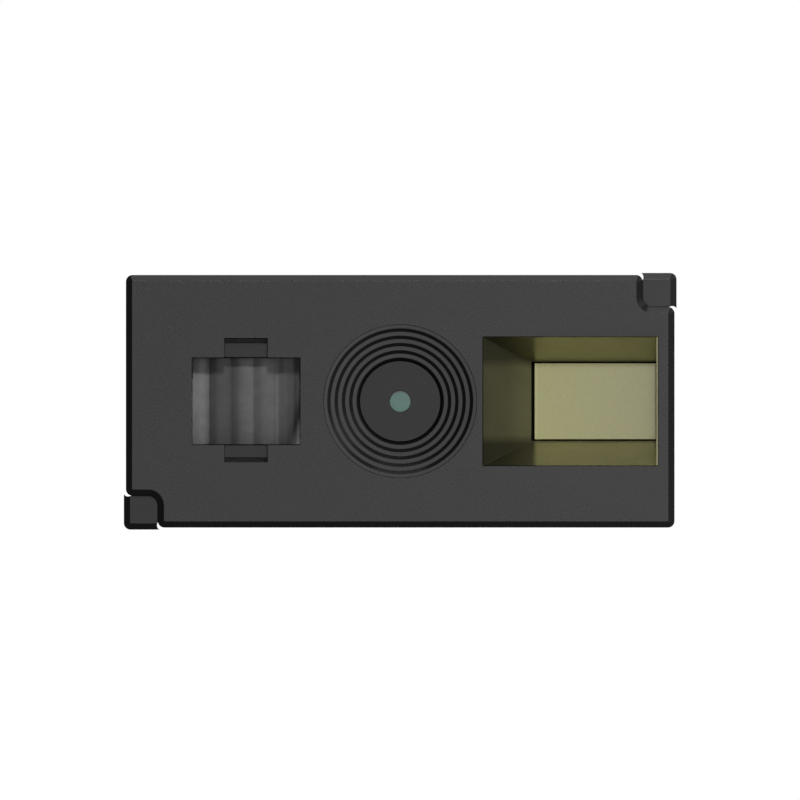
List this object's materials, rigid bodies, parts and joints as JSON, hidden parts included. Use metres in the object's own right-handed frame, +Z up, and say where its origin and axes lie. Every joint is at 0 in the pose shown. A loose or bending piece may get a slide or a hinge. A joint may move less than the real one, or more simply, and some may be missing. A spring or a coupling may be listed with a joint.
{
  "type": "optical scanner module",
  "caption": "Small black block module with a fluted aimer window, a camera lens in a stepped baffle and a yellow light pocket; rear board with a flip-latch flat cable socket.",
  "frame": {"origin": "middle of the whole module in plan, at the level of its lowest point, which is the underside of the bottom left corner post", "axes": "+X to the right as seen from the front, +Y from the optical windows at the front towards the rear, +Z up"},
  "size_m": [0.0216, 0.0116, 0.0101],
  "materials": {
    "housing_plastic": "near-black moulded plastic, fine satin texture",
    "chassis_plastic": "near-black moulded plastic, fine satin texture",
    "baffle_plastic": "dull black, turned",
    "aimer_acrylic": "smoke grey moulded lens, fluted",
    "reflector_plastic": "olive yellow reflector, satin",
    "phosphor": "pale yellow phosphor coating, unlit",
    "coated_glass": "green anti-reflection coating",
    "clear_glass": "clear",
    "black_metal": "black anodised",
    "laminate": "green solder mask over glass laminate",
    "chip_resin": "matt black moulding resin",
    "ceramic": "fired ceramic, with plated ends on the capacitors",
    "silicon": "polished silicon in its package",
    "connector_plastic": "natural heat-proof nylon",
    "latch_plastic": "black nylon",
    "plated_metal": "tin plated",
    "steel": "blackened zinc steel"
  },
  "bodies": {
    "module": {"front_housing": "housing_plastic", "rear_chassis": "chassis_plastic", "housing_screw_1": "steel", "housing_screw_2": "steel", "board_screw_1": "steel", "board_screw_2": "steel", "lens_baffle": "baffle_plastic", "lens_barrel": "baffle_plastic", "front_lens": "coated_glass", "front_spacer": "black_metal", "middle_lens": "clear_glass", "rear_spacer": "black_metal", "rear_lens": "clear_glass", "lens_retaining_ring": "black_metal", "lens_holder": "chassis_plastic", "ir_filter": "clear_glass", "sensor_cover_glass": "clear_glass", "image_sensor": "silicon", "aimer_lens": "aimer_acrylic", "aimer_lens_clip": "chassis_plastic", "aimer_slit_plate": "black_metal", "aimer_shroud": "chassis_plastic", "aimer_led": "ceramic", "aimer_led_dome": "clear_glass", "illumination_reflector": "reflector_plastic", "led_phosphor": "phosphor", "illumination_led": "ceramic", "led_board": "laminate", "led_board_spacer": "chassis_plastic", "led_pin_1": "plated_metal", "led_pin_2": "plated_metal", "led_driver_chip": "chip_resin", "sensor_board": "laminate", "board_socket": "connector_plastic", "board_plug": "connector_plastic", "decoder_board": "laminate", "processor_chip": "chip_resin", "memory_chip": "chip_resin", "clock_crystal": "plated_metal", "power_regulator": "chip_resin", "power_inductor": "chip_resin", "capacitor_1": "ceramic", "capacitor_2": "ceramic", "capacitor_3": "ceramic", "capacitor_4": "ceramic", "capacitor_5": "ceramic", "capacitor_6": "ceramic", "flex_connector": "connector_plastic", "connector_anchor_left": "plated_metal", "connector_anchor_right": "plated_metal"},
    "latch": {"connector_latch": "latch_plastic"}
  },
  "joints": [
    {"name": "latch_flip", "type": "hinge", "parent": "module", "child": "latch", "pos_m": [0.003, 0.00534, 0.00705], "axis": [-1, 0, 0], "range_deg": [0, 90]}
  ]
}
